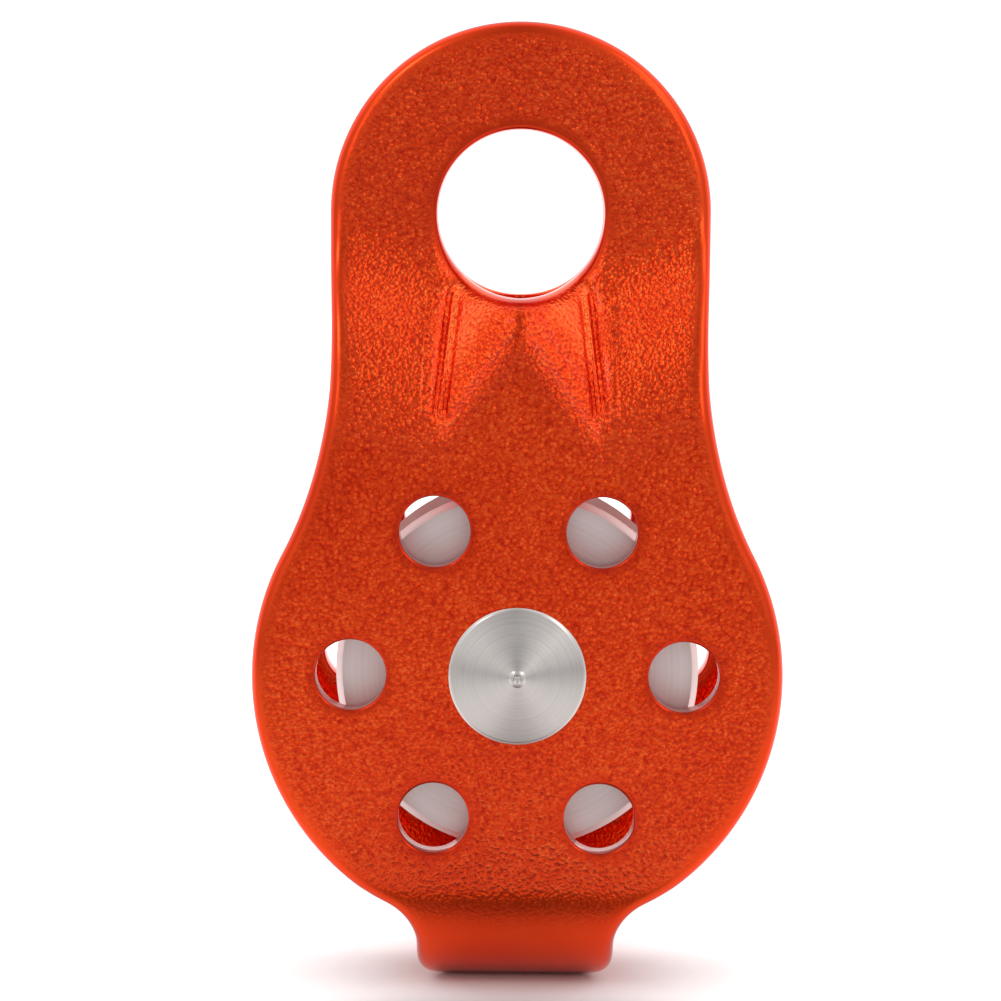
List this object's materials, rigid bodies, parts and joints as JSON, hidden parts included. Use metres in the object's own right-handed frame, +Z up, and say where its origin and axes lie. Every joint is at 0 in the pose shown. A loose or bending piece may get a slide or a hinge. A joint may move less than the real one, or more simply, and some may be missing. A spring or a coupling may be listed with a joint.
{
  "type": "rope pulley",
  "caption": "Fixed-plate rope pulley: a U-bent aluminium frame with a connector eye and pressed gussets, carrying a deep-grooved sheave on ball bearings.",
  "frame": {"origin": "centre of the connector eye, midway between the side plates", "axes": "+Z up, away from the sheave; +Y along the eye and the axle, towards the rear; the front plate faces -Y; +X to the right seen from the front"},
  "size_m": [0.0534, 0.0262, 0.0977],
  "materials": {
    "anodised_frame": "orange anodised, fine orange-peel texture",
    "axle_steel": "lathe turned",
    "sheave_alloy": "satin turned",
    "spacer_steel": "turned",
    "bearing_steel": "ground and polished",
    "cage_polymer": "moulded",
    "shield_steel": "pressed sheet",
    "spring_steel": "phosphated"
  },
  "bodies": {
    "frame": {"frame": "anodised_frame", "axle": "axle_steel", "axle_cap": "axle_steel", "front_spacer": "spacer_steel", "rear_spacer": "spacer_steel", "bearing_spacer": "spacer_steel", "front_inner_ring": "bearing_steel", "rear_inner_ring": "bearing_steel"},
    "sheave": {"sheave": "sheave_alloy", "circlips": "spring_steel", "front_outer_ring": "bearing_steel", "front_outer_shield": "shield_steel", "front_inner_shield": "shield_steel", "rear_outer_ring": "bearing_steel", "rear_outer_shield": "shield_steel", "rear_inner_shield": "shield_steel"},
    "front_cage": {"front_cage": "cage_polymer", "front_balls": "bearing_steel"},
    "rear_cage": {"rear_cage": "cage_polymer", "rear_balls": "bearing_steel"}
  },
  "joints": [
    {"name": "sheave_spin", "type": "hinge", "parent": "frame", "child": "sheave", "pos_m": [0, 0, -0.0459], "axis": [0, 1, 0], "continuous": true},
    {"name": "front_cage_spin", "type": "hinge", "parent": "frame", "child": "front_cage", "pos_m": [0, -0.0031, -0.0459], "axis": [0, 1, 0], "continuous": true},
    {"name": "rear_cage_spin", "type": "hinge", "parent": "frame", "child": "rear_cage", "pos_m": [0, 0.0031, -0.0459], "axis": [0, 1, 0], "continuous": true}
  ],
  "couplings": [
    {"joint": "front_cage_spin", "follows": "sheave_spin", "ratio": 0.58333},
    {"joint": "rear_cage_spin", "follows": "sheave_spin", "ratio": 0.58333}
  ]
}
